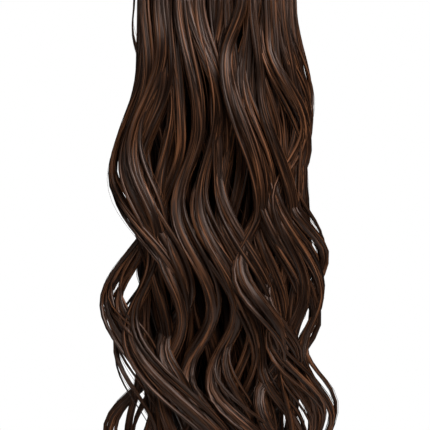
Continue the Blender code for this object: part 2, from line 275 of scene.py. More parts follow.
def fibre_blend_group():
    """Turns a place on a clump into a colour, a roughness and a height. Each noise has so many cells to a
    millimetre across the fibres and to a metre down them, and its own weight in the tone and the height."""
    group = bpy.data.node_groups.new("fibre_blend", "ShaderNodeTree")
    add_socket(group, "INPUT", "Strand", "NodeSocketVector")
    for shade in ("Dark Fibre", "Brown Fibre", "Chestnut Fibre"):
        add_socket(group, "INPUT", shade, "NodeSocketColor", (0.02, 0.01, 0.006, 1.0))
    add_socket(group, "OUTPUT", "Color", "NodeSocketColor")
    add_socket(group, "OUTPUT", "Roughness", "NodeSocketFloat")
    add_socket(group, "OUTPUT", "Height", "NodeSocketFloat")
    start, end = add_node(group, "NodeGroupInput"), add_node(group, "NodeGroupOutput")
    parts = add_node(group, "ShaderNodeSeparateXYZ")
    group.links.new(start.outputs["Strand"], parts.inputs["Vector"])
    tone, height = 0.0, 0.0
    for streak in STREAKS:
        place = add_node(group, "ShaderNodeCombineXYZ")
        group.links.new(math_node(group, "MULTIPLY", parts.outputs["X"], streak.across), place.inputs["X"])
        group.links.new(math_node(group, "MULTIPLY", parts.outputs["Y"], streak.down), place.inputs["Y"])
        noise = add_node(group, "ShaderNodeTexNoise", noise_dimensions="2D")
        noise.inputs["Scale"].default_value = 1.0
        noise.inputs["Detail"].default_value = 1.0
        group.links.new(place.outputs["Vector"], noise.inputs["Vector"])
        streaks = noise.outputs["Fac"]
        tone = math_node(group, "ADD", math_node(group, "MULTIPLY", streaks, streak.weight), tone)
        height = math_node(group, "ADD", math_node(group, "MULTIPLY", streaks, streak.height), height)
    lower = map_range(group, tone, DARKEST, MIDDLE_TONE, 0.0, 1.0)
    upper = map_range(group, tone, MIDDLE_TONE, BRIGHTEST, 0.0, 1.0)
    browned = mix_colours(group, lower, start.outputs["Dark Fibre"], start.outputs["Brown Fibre"])
    colour = mix_colours(group, upper, browned, start.outputs["Chestnut Fibre"])
    group.links.new(colour, end.inputs["Color"])
    group.links.new(map_range(group, height, NOISE_LOW, NOISE_HIGH, SLEEK, DULL), end.inputs["Roughness"])
    group.links.new(height, end.inputs["Height"])
    return group


fibre_blend = fibre_blend_group()
print("node group", fibre_blend.name, "adds", len(STREAKS), "noises")

# %% Hair materials
Fibre = namedtuple("Fibre", "dark brown chestnut specular")
OUTER_FIBRE = Fibre((0.003, 0.0012, 0.0006), (0.013, 0.0050, 0.0023), (0.125, 0.048, 0.020), 0.27)
# The inner fibre is the outer one made darker and less glossy: painted shade, for the shadow between and
# behind the front locks
INNER_FIBRE_PAINTED_SHADE = Fibre((0.002, 0.0008, 0.0004), (0.009, 0.0035, 0.0016), (0.060, 0.023, 0.010), 0.14)
SHEEN_TINT = (1.0, 0.74, 0.64, 1.0)
FIBRE_RELIEF = 0.55
FIBRE_BUMP = 0.7


def hair_material(name, fibre):
    """The fibre blend on the strand UV map, with a bump from its height and a tinted sheen."""
    made, tree, shader = new_material(name)
    strand = add_node(tree, "ShaderNodeUVMap", uv_map="strand")
    blend = add_node(tree, "ShaderNodeGroup", node_tree=fibre_blend)
    tree.links.new(strand.outputs["UV"], blend.inputs["Strand"])
    blend.inputs["Dark Fibre"].default_value = (*fibre.dark, 1.0)
    blend.inputs["Brown Fibre"].default_value = (*fibre.brown, 1.0)
    blend.inputs["Chestnut Fibre"].default_value = (*fibre.chestnut, 1.0)
    tree.links.new(blend.outputs["Color"], shader.inputs["Base Color"])
    tree.links.new(blend.outputs["Roughness"], shader.inputs["Roughness"])
    add_bump(tree, blend.outputs["Height"], FIBRE_BUMP, FIBRE_RELIEF)
    shader.inputs["Specular IOR Level"].default_value = fibre.specular
    shader.inputs["Specular Tint"].default_value = SHEEN_TINT
    return made


outer_hair = hair_material("outer_hair", OUTER_FIBRE)
inner_hair_painted_shade = hair_material("inner_hair_painted_shade", INNER_FIBRE_PAINTED_SHADE)
print("materials", outer_hair.name, inner_hair_painted_shade.name)

# %% [markdown]
# ## Where a lock hangs
#
# Each lock is one row of a table. The row lists the turns of its wave, as pairs of drop and place across,
# and the lock swings from one turn to the next as half a cosine wave. A curve set point by point would do
# as well, but a few turns say the same and stay smooth. Seen from above, the hair fills a flattened oval,
# so a lock's place across also gives its depth: forward in the middle, back at the sides. A wave set with a
# rod is a helix, so a lock also stands forward where it swings to the right, and back where it returns.

# %% The locks
# Lift moves a lock forward, across is its place at the top of its fall, and the tip and the turns are pairs
# of drop and place across
Lock = namedtuple("Lock", "name width thick lift across tip turns")
FRONT_LOCKS = (
    Lock("left_outer", 7, 5, 2, -60, (500, -66),
         ((98, -60), (188, -82), (243, -58), (293, -78), (340, -60), (400, -70), (450, -56))),
    Lock("left_sweep", 13, 7, 6, -56, (522, 10),
         ((102, -53), (176, -71), (250, -48), (312, -66), (425, 14), (475, 2))),
    Lock("left_inner", 15, 7, 4, -42, (490, -30),
         ((110, -39), (187, -61), (288, -23), (329, -42), (376, -22), (430, -38))),
    Lock("left_curl", 10, 6, 1, -48, (495, -54),
         ((130, -33), (212, -46), (290, -87), (370, -48), (430, -62))),
    Lock("left_curl_inner", 4, 4, 0, -38, (470, -58),
         ((120, -36), (206, -42), (286, -77), (345, -46), (400, -66))),
    Lock("left_low", 9, 6, 0, -33, (505, -72),
         ((160, -27), (245, -50), (325, -36), (397, -85), (455, -66))),
    Lock("middle_left", 14, 7, 3, -28, (510, 6),
         ((150, -13), (217, -30), (297, -2), (354, -24), (415, 14), (465, 0))),
    Lock("middle", 13, 7, 4, -13, (520, 44),
         ((137, 3), (213, -12), (298, 18), (354, -2), (418, 48), (468, 36))),
    Lock("centre_deep", 11, 6, -1, -2, (490, 20),
         ((160, 12), (235, 4), (310, 30), (370, 14), (430, 26))),
    Lock("centre_under", 11, 6, 1, 6, (510, 36),
         ((95, 1), (190, 3), (305, 48), (347, 36), (400, 46), (455, 28))),
    Lock("centre_right", 12, 7, 10, 21, (516, 56),
         ((100, 8), (210, 36), (260, 19), (327, 54), (368, 34), (430, 62), (480, 50))),
    Lock("right_fall", 12, 7, 3, 28, (505, 78),
         ((120, 24), (203, 36), (294, 70), (326, 56), (385, 80), (440, 66))),
    Lock("right_long", 8, 6, 4, 33, (500, 82),
         ((110, 21), (200, 46), (286, 85), (334, 70), (384, 95), (440, 74))),
    Lock("right_middle", 7, 5, 5, 40, (480, 66),
         ((78, 37), (168, 73), (212, 60), (256, 87), (322, 54), (372, 63), (420, 54))),
    Lock("right_low", 8, 6, 0, 44, (500, 60),
         ((110, 42), (165, 52), (228, 33), (302, 55), (345, 44), (403, 69), (455, 54))),
    Lock("right_side", 12, 6, 2, 52, (475, 56),
         ((66, 52), (158, 71), (200, 69), (236, 71), (312, 60), (360, 64), (410, 56))),
    Lock("right_outer", 10, 6, 0, 60, (465, 70),
         ((138, 71), (190, 64), (238, 61), (302, 80), (338, 64), (378, 84))),
)
print(len(FRONT_LOCKS), "locks show at the front")

# %% The loose locks
# Finer ones, which lie between those and over them
LOOSE_LOCKS = (
    Lock("left_thin", 5, 4, 6, -54, (455, -28), ((98, -59), (188, -83), (290, -27), (370, -45))),
    Lock("left_bright", 11, 6, 8, -45, (500, -34),
         ((90, -42), (172, -64), (245, -42), (305, -26), (360, -42), (430, -22))),
    Lock("left_wisp", 4, 4, 1, -50, (400, -42),
         ((130, -46), (190, -58), (235, -52), (292, -86), (335, -54))),
    Lock("left_stray", 1.4, 1.4, 1, -66, (240, -52), ((68, -67), (112, -58), (160, -60))),
    Lock("left_loop", 5, 4, 1, -57, (450, -60),
         ((120, -56), (200, -68), (266, -53), (326, -80), (400, -46))),
    Lock("left_under", 11, 6, -5, -34, (480, -10),
         ((130, -28), (215, -44), (283, -30), (327, -44), (396, -12))),
    Lock("left_dark", 12, 6, -2, -50, (430, -40),
         ((110, -56), (170, -57), (230, -49), (312, -58), (350, -54))),
    Lock("middle_fine", 9, 5, 4, -20, (490, 20),
         ((45, -22), (146, 6), (216, -16), (298, 20), (353, 0), (420, 46))),
    Lock("centre_fill", 10, 6, 1, 14, (470, 12), ((90, 6), (175, 22), (250, 8), (330, 34), (390, 16))),
    Lock("right_under", 8, 5, 2, 33, (420, 56),
         ((95, 36), (165, 52), (205, 57), (262, 75), (318, 60), (370, 62))),
    Lock("right_second", 10, 6, 6, 41, (470, 54),
         ((85, 42), (156, 71), (215, 47), (285, 70), (345, 52), (405, 62))),
    Lock("right_third", 4, 4, 4, 48, (430, 52),
         ((75, 54), (145, 77), (203, 64), (254, 87), (330, 64), (385, 60))),
    Lock("right_thin", 6, 4, 3, 57, (430, 52),
         ((60, 57), (137, 76), (178, 70), (235, 72), (300, 62), (365, 64))),
    Lock("right_dark", 13, 6, -4, 54, (430, 44), ((110, 64), (165, 62), (225, 60), (290, 54), (350, 52))),
    Lock("right_lower", 8, 5, 4, 46, (470, 62),
         ((120, 50), (200, 40), (260, 56), (318, 44), (380, 88), (436, 70))),
    Lock("centre_cross", 8, 5, 3, 10, (500, -8),
         ((130, 16), (220, 4), (286, 30), (338, 8), (392, 30), (446, 6))),
    Lock("right_cross", 6, 5, 7, 30, (485, 42),
         ((118, 36), (224, 62), (284, 40), (336, 66), (392, 42), (446, 62))),
    Lock("right_cross_low", 5, 4, 6, 54, (470, 80),
         ((140, 66), (226, 46), (282, 70), (334, 50), (390, 78), (440, 60))),
    Lock("right_edge", 2.5, 2.5, 1, 65, (330, 60), ((138, 79), (214, 66), (256, 89), (300, 70))),
    Lock("right_curl", 8, 5, 2, 36, (480, 50),
         ((130, 32), (205, 44), (270, 30), (340, 38), (404, 70), (450, 58))),
)
print(len(LOOSE_LOCKS), "loose locks lie among them")

# %% The hanging envelope
FALL_DROP = 50.0
MIDDLE_Y = -24.0
SIDE_ROOM = 5.5
FRONT_BULGE = 26.0
BACK_BULGE = 20.0
SIDE_HELIX = 2.0
FRONT_HELIX = 10.0
BACK_HELIX = 6.0
MIDDLE_HELIX = 4.0
WIDEST_SHARE = 0.98
# Drop, and how far the hair reaches to each side there
HALF_WIDTHS = np.array(((-40, 58), (50, 67), (150, 80), (290, 89), (420, 95), (530, 90)), dtype=float)


def fullness(across, drop):
    """1 in the middle of the hair and near 0 at its sides: the square root of 1 - (share of the width)^2."""
    half_width = np.interp(drop, HALF_WIDTHS[:, 0], HALF_WIDTHS[:, 1])
    share = np.minimum(np.abs(across) / half_width, WIDEST_SHARE)
    return np.sqrt(1 - share**2)


def front_depth(full):
    """Y of the front locks: the middle, less the room at the sides and the bulge times the fullness."""
    return MIDDLE_Y - SIDE_ROOM - FRONT_BULGE * full


def back_depth(full):
    """Y of the back locks: the middle, plus the room at the sides and the bulge times the fullness."""
    return MIDDLE_Y + SIDE_ROOM + BACK_BULGE * full


def inner_depth(full):
    """Y halfway between the back locks and a line that is half a helix behind the front ones."""
    return (front_depth(full) + FRONT_HELIX / 2 + back_depth(full)) / 2


def swing(stops, drop):
    """Across and slope at a drop. Between two stops, the place across is the first plus the step between
    them times (1 - cos(pi share)) / 2, and the slope is how fast that changes with the drop."""
    last = len(stops) - 2
    above = np.clip(np.searchsorted(stops[:, 0], drop, side="right") - 1, 0, last)
    span = stops[above + 1, 0] - stops[above, 0]
    step = stops[above + 1, 1] - stops[above, 1]
    share = np.clip((drop - stops[above, 0]) / span, 0, 1)
    across = stops[above, 1] + step * (1 - np.cos(np.pi * share)) / 2
    return across, step * np.pi / span * np.sin(np.pi * share) / 2


def hang(stops, drop, depth, lift, helix):
    """Points of a lock's middle line at these drops: (across, depth less lift and helix, minus drop)."""
    across, slope = swing(stops, drop)
    full = fullness(across, drop)
    fade = np.clip((drop - FALL_DROP) / FALL_DROP, 0, 1)
    forward = lift + (SIDE_HELIX + (helix - SIDE_HELIX) * full) * slope * fade
    return np.stack([across, depth(full) - forward, -drop], axis=-1)


print("the hair is", round(2 * HALF_WIDTHS[:, 1].max()), "mm wide at most")

# %% [markdown]
# ## From a lock to its clumps and strands
#
# A lock is not a solid rope. Most of its fibres keep together as one flattened body, whose round back
# catches the light. The rest leave it in small clumps, each of which lags a little behind the body or runs
# ahead of it, and dark gaps open between them. Body and clumps are closed tubes with a ridged section, like
# a bundle of fibres, and single strands lie on them and stray from them. The body alone would look like a
# rope, and fine strands alone would need too many faces.
#
# All the clumps of a lock are one array: a row for each clump, a column for each station down its length. A
# clump's place in the lock is a point of a disc, spread as the seeds of a sunflower, that wanders on its
# way down.

# %% Places in a bundle
GOLDEN_ANGLE = math.pi * (3 - math.sqrt(5))
WANDER_WAVES = 3


def sunflower(count):
    """Even places in a unit disc: the kth is at radius sqrt(k / count) and at k golden angles round."""
    number = np.arange(count) + 0.5
    radius = np.sqrt(number / count)
    angle = number * GOLDEN_ANGLE
    return np.stack([radius * np.cos(angle), radius * np.sin(angle)], axis=1)


def wander(rng, drop, longest, shortest):
    """Slow noise between about -1 and 1 for each row of drops: half the sum of a few sine waves of the drop,
    each with a start of its own and a length between the two given."""
    rows = (len(drop), 1)
    waves = []
    for _ in range(WANDER_WAVES):
        length = rng.uniform(shortest, longest, rows)
        start = rng.uniform(0, 1, rows)
        waves.append(np.sin(2 * np.pi * (drop / length + start)))
    return sum(waves) / 2


print("first places of a bundle:", sunflower(5)[:2].round(2).tolist())

# %% Stations down a lock
STATION_GAP = 8.5
LEAST_STATIONS = 4


def stations_of(stops, gap):
    """Drops from the first stop to the last, closer where the wave is shorter, with one at every turn."""
    drops = [stops[:1, 0]]
    for above, below in zip(stops[:-1, 0], stops[1:, 0]):
        steps = max(LEAST_STATIONS, round((below - above) / gap))
        drops.append(np.linspace(above, below, steps + 1)[1:])
    return np.concatenate(drops)


def stops_of(lock):
    """The top of a lock's fall, its turns and its tip, each a drop and a place across."""
    return np.array(((FALL_DROP, lock.across), *lock.turns, lock.tip), dtype=float)


most_stations = max(len(stations_of(stops_of(lock), STATION_GAP)) for lock in FRONT_LOCKS)
print("a front lock has", most_stations, "stations at most")

# %% [markdown]
# ## The arch at the top
#
# A clump starts in the seam of its weft, rises away from the base, and arches over until it hangs. That is
# one cubic Bezier curve from its root to the first point of its fall, where it runs straight down. A plain
# arc would do, but the curve's two handles also set how the hair leaves the base and how it comes into its
# fall.

# %% The arch
ARCH_STATIONS = 8


def bezier(start, first, second, end, steps):
    """Points on a cubic Bezier curve for every row, without the last: (1-t)^3 start + 3(1-t)^2 t first +
    3(1-t) t^2 second + t^3 end."""
    t = np.linspace(0, 1, steps + 1)[:-1][None, :, None]
    start, first, second, end = (point[:, None, :] for point in (start, first, second, end))
    return (1 - t) ** 3 * start + 3 * (1 - t) ** 2 * t * first + 3 * (1 - t) * t**2 * second + t**3 * end


SAMPLE_POINTS = ((0, 0, 0), (0, -14, 18), (0, -50, -5), (0, -50, -50))
sample = bezier(*(np.array([point], dtype=float) for point in SAMPLE_POINTS), ARCH_STATIONS)
print("a sample arch rises", round(sample[0, :, 2].max(), 1), "mm above its root")

# %% How a clump strays from its lock
# What a weft gives its locks: the depth and helix that they hang with, the way out of the hair in Y, how a
# root is placed and leaves the base, the reach of the arch above the fall, and how wide the roots spread
Weft = namedtuple("Weft", "depth helix side root leave reach root_spread")
LAG = 6.0
LAG_SPREAD = 4.0
FULL_LAG_SHARE = 0.25
TIP_SPREAD = 0.05
SHORTEST_CLUMP = 0.8
SWING_SHARE = (0.92, 1.1)
DRIFT = 0.45
DRIFT_LENGTHS = (420, 160)


def own_drops(stops, count, gap, rng):
    """The drops of each clump's stations: those of the lock, drawn up a little so that clumps end at
    different drops."""
    drop = stations_of(stops, gap)
    ends = 1 - np.abs(rng.normal(0, TIP_SPREAD, (count, 1)))
    return FALL_DROP + (drop - FALL_DROP)[None, :] * np.clip(ends, SHORTEST_CLUMP, 1)


def drifted(places, own_drop, share, freedom, rng):
    """Each clump's place in the disc at each station: its own, plus a wander that grows with the square root
    of the share of the fall."""
    drift = np.stack([wander(rng, own_drop, *DRIFT_LENGTHS) for _ in ("across", "out")], axis=-1)
    drift = drift * (DRIFT * freedom * np.sqrt(np.clip(share, 0, 1)))[..., None]
    return places[:, None, :] + drift


def own_lines(lock, weft, places, own_drop, share, freedom, rng):
    """The lock's line as each clump follows it: read a lag further down or up, and swung a little more or
    less about the straight line from the top of the fall to the tip."""
    stops, count = stops_of(lock), len(places)
    lag = places[:, :1] * LAG + rng.normal(0, LAG_SPREAD, (count, 1)) * freedom
    lag = lag * np.clip(share / FULL_LAG_SHARE, 0, 1)
    line = hang(stops, np.clip(own_drop + lag, FALL_DROP, None), weft.depth, lock.lift, weft.helix)
    middle = np.interp(own_drop, (FALL_DROP, stops[-1, 0]), (lock.across, stops[-1, 1]))
    own_swing = 1 + (rng.uniform(*SWING_SHARE, (count, 1)) - 1) * freedom
    line[..., 0] = middle + (line[..., 0] - middle) * own_swing
    line[..., 2] = -own_drop
    return line


print("a clump runs up to about", round(LAG + 2 * LAG_SPREAD), "mm ahead of its lock or behind it")

# %% Paths of the clumps of one lock
LEAVE_SHARE = (0.85, 1.15)
LEAN = 0.7
SEAM_HALF_DEPTH = 1.5
# Share of the fall, and how wide a lock is there for its full width
WIDTH_SHARES = np.array(((0.0, 0.85), (0.12, 1.0), (0.35, 1.0), (0.75, 1.0), (0.9, 0.8), (1.0, 0.4)))


def unit(vectors):
    """Vectors divided by their lengths."""
    return vectors / np.linalg.norm(vectors, axis=-1, keepdims=True)


def section_axes(line, own_drop, side):
    """Two directions square to each line: broad runs along the outline of the hair as seen from above, and
    proud stands out of it."""
    tangent = unit(np.gradient(line, axis=1))
    half_width = np.interp(own_drop, HALF_WIDTHS[:, 0], HALF_WIDTHS[:, 1])
    lean = np.clip(line[..., 0] / half_width, -WIDEST_SHARE, WIDEST_SHARE) * LEAN
    outward = np.stack([lean, np.full_like(lean, side), np.zeros_like(lean)], axis=-1)
    broad = unit(np.cross(tangent, outward))
    broad = broad * np.sign(broad[..., :1])
    return broad, np.cross(tangent, broad)


def arches(lock, weft, places, first, rng):
    """Each clump's arch: it starts at the clump's place in the seam, leaves with a length of its own, and
    comes down on the first point of the fall."""
    seam_across = places[:, 0] * lock.width * weft.root_spread / 2
    place_in_seam = np.stack([seam_across, places[:, 1] * SEAM_HALF_DEPTH, np.zeros(len(places))], axis=1)
    root = np.array(weft.root(lock))[None, :] + place_in_seam
    leave = np.array(weft.leave(lock))[None, :] * rng.uniform(*LEAVE_SHARE, (len(places), 1))
    rise = np.array((0.0, 0.0, weft.reach))[None, :]
    return bezier(root, root + leave, first + rise, first, ARCH_STATIONS)


def clump_paths(lock, weft, places, gap, rng):
    """Middle lines of a lock's clumps as an array (clump, station, xyz). A point is the lock's own line at
    the clump's drop, plus the clump's place in the disc times the lock's half width along broad and its half
    thickness along proud. A clump in the middle of the disc keeps to the line, and those around it stray."""
    freedom = np.linalg.norm(places, axis=1)[:, None].clip(0.0, 1.0)
    own_drop = own_drops(stops_of(lock), len(places), gap, rng)
    share = (own_drop - FALL_DROP) / (lock.tip[0] - FALL_DROP)
    offset = drifted(places, own_drop, share, freedom, rng)
    line = own_lines(lock, weft, places, own_drop, share, freedom, rng)
    broad, proud = section_axes(line, own_drop, weft.side)
    scale = np.interp(share, WIDTH_SHARES[:, 0], WIDTH_SHARES[:, 1])[..., None] / 2
    fall = line + broad * offset[..., :1] * lock.width * scale + proud * offset[..., 1:] * lock.thick * scale
    return np.concatenate([arches(lock, weft, places, fall[:, 0], rng), fall], axis=1)


print("a lock is widest at", round(100 * WIDTH_SHARES[WIDTH_SHARES[:, 1].argmax(), 0]), "% of its fall")

# %% [markdown]
# ## Tubes
#
# Clumps and strands are both tubes, closed at both ends, with smooth shading. Blender's own hair curves
# would be lighter, but they do not leave Blender as a mesh. The rings of all the tubes of a lock are worked
# out as one array. A clump has a ring of many corners whose radius rises and falls round it, and the
# pattern turns slowly on its way down, as twisted fibres do. A strand is thin enough for three corners.

# %% Rings and faces of tubes
ACROSS = np.array((1.0, 0.0, 0.0))
STRAND_CORNERS = 3


def ring_frames(paths):
    """Two directions square to each path: side is the X axis made square to it, and up is square to both."""
    tangent = unit(np.gradient(paths, axis=1))
    side = unit(ACROSS - tangent * tangent[..., :1])
    return side, np.cross(tangent, side)


def rings(paths, radius, angle, flat):
    """Ring corners (row, station, corner, xyz): path + radius (cos(angle) side + flat sin(angle) up)."""
    side, up = ring_frames(paths)
    out = np.cos(angle)[..., None] * side[:, :, None, :]
    out = out + flat * np.sin(angle)[..., None] * up[:, :, None, :]
    return paths[:, :, None, :] + radius[..., None] * out


def tube_faces(rows, stations, corners):
    """Corner numbers of the quads of every tube, and of the two faces that close each."""
    ring = np.arange(stations - 1)[:, None] * corners
    corner = np.arange(corners)[None, :]
    after = (corner + 1) % corners
    quads = np.stack([ring + corner, ring + after, ring + corners + after, ring + corners + corner], axis=-1)
    caps = np.stack([np.arange(corners)[::-1], np.arange(corners) + (stations - 1) * corners])
    first = np.arange(rows)[:, None, None] * stations * corners
    return (quads.reshape(1, -1, 4) + first).reshape(-1, 4), (caps[None] + first).reshape(-1, corners)


SAMPLE_RINGS = 10
sample_quads, sample_caps = tube_faces(1, SAMPLE_RINGS, STRAND_CORNERS)
print("a strand of", SAMPLE_RINGS, "rings has", len(sample_quads), "quads and", len(sample_caps), "caps")

# %% Marks for the streaks
Tubes = namedtuple("Tubes", "corners along around")


def length_along(paths):
    """How far each station is from the first: the steps between stations, added up."""
    steps = np.linalg.norm(np.diff(paths, axis=1), axis=2)
    return np.concatenate([np.zeros((len(paths), 1)), np.cumsum(steps, axis=1)], axis=1)


def tube_marks(tubes):
    """The UV of each corner of each face, in the order of tube_faces: how far round the tube it is, in
    millimetres from a start of the tube's own, and how far it is from the root, in metres."""
    left, right = tubes.around[..., :-1], tubes.around[..., 1:]
    around = np.stack([left[:, :-1], right[:, :-1], right[:, 1:], left[:, 1:]], axis=-1)
    above, below = tubes.along[:, :-1, None] * MM, tubes.along[:, 1:, None] * MM
    along = np.stack(np.broadcast_arrays(above, above, below, below), axis=-1)
    quads = np.stack(np.broadcast_arrays(around, along), axis=-1)
    ends = np.stack([left[:, 0, ::-1], left[:, -1]], axis=1)
    end_drops = np.stack([tubes.along[:, :1], tubes.along[:, -1:]], axis=1) * MM
    caps = np.stack(np.broadcast_arrays(ends, end_drops), axis=-1)
    return np.concatenate([quads.reshape(-1, 2), caps.reshape(-1, 2)])


print("a sample arch is", round(length_along(sample)[0, -1], 1), "mm long")

# %% One mesh from arrays of tubes


def tube_object(name, parts, finish):
    """One object from several arrays of tubes."""
    points, marks, faces, sizes = [], [], [], []
    count = 0
    for part in parts:
        rows, stations, corners = part.corners.shape[:3]
        points.append(part.corners.reshape(-1, 3))
        marks.append(tube_marks(part))
        for block in tube_faces(rows, stations, corners):
            faces.append((block + count).ravel())
            sizes.append(np.full(len(block), block.shape[1]))
        count += rows * stations * corners
    points, marks = np.concatenate(points) * MM, np.concatenate(marks)
    faces, sizes = np.concatenate(faces), np.concatenate(sizes)
    mesh = bpy.data.meshes.new(name)
    mesh.vertices.add(len(points))
    mesh.vertices.foreach_set("co", points.astype(np.float32).ravel())
    mesh.loops.add(len(faces))
    mesh.loops.foreach_set("vertex_index", faces.astype(np.int32))
    mesh.polygons.add(len(sizes))
    mesh.polygons.foreach_set("loop_start", (np.cumsum(sizes) - sizes).astype(np.int32))
    mesh.update(calc_edges=True)
    mesh.uv_layers.new(name="strand").data.foreach_set("uv", marks.astype(np.float32).ravel())
    mesh.shade_smooth()
    obj = bpy.data.objects.new(name, mesh)
    bpy.context.scene.collection.objects.link(obj)
    mesh.materials.append(finish)
    print(name, "has", sum(len(part.corners) for part in parts), "tubes and", (sizes - 2).sum(), "triangles")
    return obj


# %% Clumps as tubes
# Share of the stations, and how thick a clump is there for its radius
CLUMP_TAPER = np.array(((0.0, 0.7), (0.15, 1.0), (0.7, 0.95), (0.9, 0.6), (0.97, 0.25), (1.0, 0.05)))
# How many ridges go round a clump, and how deep they are for its radius
RIDGES = ((3, 0.05), (4, 0.04), (7, 0.07), (10, 0.045))
TWIST_LENGTH = 700.0
ANY_ANGLE = (0, 6)
LATEST_START = 900
SWELL = 0.12
SWELL_LENGTHS = (300, 90)


def marks_around(size, corners, shift, rng):
    """U of each corner, with the first corner once more at the end: a start of the tube's own, plus how far
    round it the corner is, less the shift by which its fibres have wound round it at each station."""
    start = rng.uniform(0, LATEST_START, len(size))[:, None, None]
    step = (2 * np.pi * size / corners)[:, None, None] * np.arange(corners + 1)
    return start + step - shift[:, :, None]


def clump_tubes(paths, radius, flat, corners, rng):
    """Ridged tubes: the radius is taper times swell times (1 + the sum of deep cos(n (angle - twist) +
    start) over the ridge patterns), and the twist goes round once in TWIST_LENGTH. Flat is thickness over
    width."""
    rows, stations = paths.shape[:2]
    along = length_along(paths)
    angle = np.broadcast_to(np.arange(corners) * 2 * np.pi / corners, (rows, stations, corners))
    way = rng.choice((-1, 1), (rows, 1))
    twist = along / TWIST_LENGTH * 2 * np.pi * way + rng.uniform(*ANY_ANGLE, (rows, 1))
    taper = np.interp(np.linspace(0, 1, stations), CLUMP_TAPER[:, 0], CLUMP_TAPER[:, 1])
    swell = 1 + wander(rng, along, *SWELL_LENGTHS) * SWELL
    turned = angle - twist[:, :, None]
    starts = rng.uniform(*ANY_ANGLE, (len(RIDGES), rows, 1, 1))
    ridged = 1 + sum(deep * np.cos(n * turned + start) for (n, deep), start in zip(RIDGES, starts))
    size = radius[:, None, None] * (taper * swell)[:, :, None] * ridged
    marks = marks_around(radius, corners, twist * radius[:, None], rng)
    return Tubes(rings(paths, size, angle, flat), along, marks)


TRIED_RADIUS = 2.0
TRIED_CORNERS = 10
tried = clump_tubes(sample, np.array([TRIED_RADIUS]), 1.0, TRIED_CORNERS, np.random.default_rng(0))
tried_reach = np.linalg.norm(tried.corners - sample[:, :, None, :], axis=-1).max()
print("ridges and swell take a radius of", TRIED_RADIUS, "mm to", round(tried_reach, 2), "mm")

# %% Strands as tubes
# Share of the stations, and how thick a strand is there for its radius
STRAND_TAPER = np.array(((0.0, 0.8), (0.1, 1.0), (0.85, 0.9), (1.0, 0.15)))
WIND = 0.8
WIND_LENGTHS = (400, 150)
IN_AND_OUT = 0.2
IN_AND_OUT_LENGTHS = (200, 60)
STRAND_SIZES = (0.7, 1.3)


def strand_tubes(paths, clump_radius, flat, radius, each, loose, rng):
    """Thin tubes that lie on the clumps, some for each: a strand winds slowly round its clump, goes in and
    out a little, and leaves it towards the tip by as much as it is loose."""
    paths = np.repeat(paths, each, axis=0)
    rows, stations = paths.shape[:2]
    along = length_along(paths)
    side, up = ring_frames(paths)
    angle = rng.uniform(0, 2 * np.pi, (rows, 1)) + wander(rng, along, *WIND_LENGTHS) * WIND
    in_and_out = wander(rng, along, *IN_AND_OUT_LENGTHS) * IN_AND_OUT
    out = 1.0 + in_and_out + np.abs(rng.normal(0, loose, (rows, 1))) * along / along.max()
    taper = np.interp(np.linspace(0, 1, stations), STRAND_TAPER[:, 0], STRAND_TAPER[:, 1])
    body = np.interp(np.linspace(0, 1, stations), CLUMP_TAPER[:, 0], CLUMP_TAPER[:, 1])
    reach = np.repeat(clump_radius, each)[:, None] * out * body
    away = np.cos(angle)[..., None] * side + flat * np.sin(angle)[..., None] * up
    paths = paths + reach[..., None] * away
    thick = radius * rng.uniform(*STRAND_SIZES, rows)
    size = thick[:, None, None] * np.broadcast_to(taper[None, :, None], (rows, stations, STRAND_CORNERS))
    corners = np.arange(STRAND_CORNERS) * 2 * np.pi / STRAND_CORNERS
    turned = np.broadcast_to(corners + rng.uniform(*ANY_ANGLE, (rows, 1, 1)), size.shape)
    marks = marks_around(thick, STRAND_CORNERS, np.zeros((rows, stations)), rng)
    return Tubes(rings(paths, size, turned, 1.0), along, marks)


TRIED_STRANDS = 8
TRIED_THICKNESS = 0.2
TRIED_LOOSE = 0.1
on_tried = (np.array([TRIED_RADIUS]), 1.0, TRIED_THICKNESS, TRIED_STRANDS, TRIED_LOOSE)
tried = strand_tubes(sample, *on_tried, np.random.default_rng(0))
tried_reach = np.linalg.norm(tried.corners - sample[:, :, None, :], axis=-1).max()
print("strands on that clump reach", round(tried_reach, 2), "mm from its middle")

# %% [markdown]
# ## The front weft
#
# These are the locks that show. Their roots stand in a seam that follows the upper edge of the oval base,
# so a lock near the side starts lower and leans outwards as it leaves. The number of clumps in a lock goes
# with its section. The locks are put into five pieces, from left to right, so that none is too heavy a
# mesh.

# %% Seams on the base
base_low, base_high = (np.array(corner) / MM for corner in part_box("base"))
BASE_HALF_WIDTH = (base_high[0] - base_low[0]) / 2
BASE_HALF_HEIGHT = (base_high[2] - base_low[2]) / 2
WEFT_GAP = 0.3
WEFT_Y = base_low[1] - WEFT_GAP
FRONT_GATHER = 0.61
FRONT_ROOT_AHEAD = 4.0
FRONT_ROOT_DOWN = 5.0
LEAVE_SIDE_SHARE = 0.68
LEAVE_ASIDE = 8
LEAVE_AHEAD = 14.0
LEAVE_UP = 18.0
LEAVE_UP_LESS = 6
FRONT_REACH = 45.0
FRONT_ROOT_SPREAD = 0.9


def base_edge(across):
    """How high the oval base reaches at this place across."""
    return BASE_HALF_HEIGHT * math.sqrt(max(0.0, 1 - (across / BASE_HALF_WIDTH) ** 2))


def front_root(lock):
    """A root under the oval's upper edge, at the lock's place across times the gather."""
    across = lock.across * FRONT_GATHER
    return (across, WEFT_Y - FRONT_ROOT_AHEAD, base_edge(across) - FRONT_ROOT_DOWN)


def front_leave(lock):
    """The way out of the seam: forward, more so with the lock's lift, and up, and the further to the side a
    lock is, the more aside and the less up."""
    side = abs(lock.across) * LEAVE_SIDE_SHARE / BASE_HALF_WIDTH
    aside = math.copysign(LEAVE_ASIDE * side, lock.across)
    return (aside, -LEAVE_AHEAD - lock.lift, LEAVE_UP - LEAVE_UP_LESS * side)


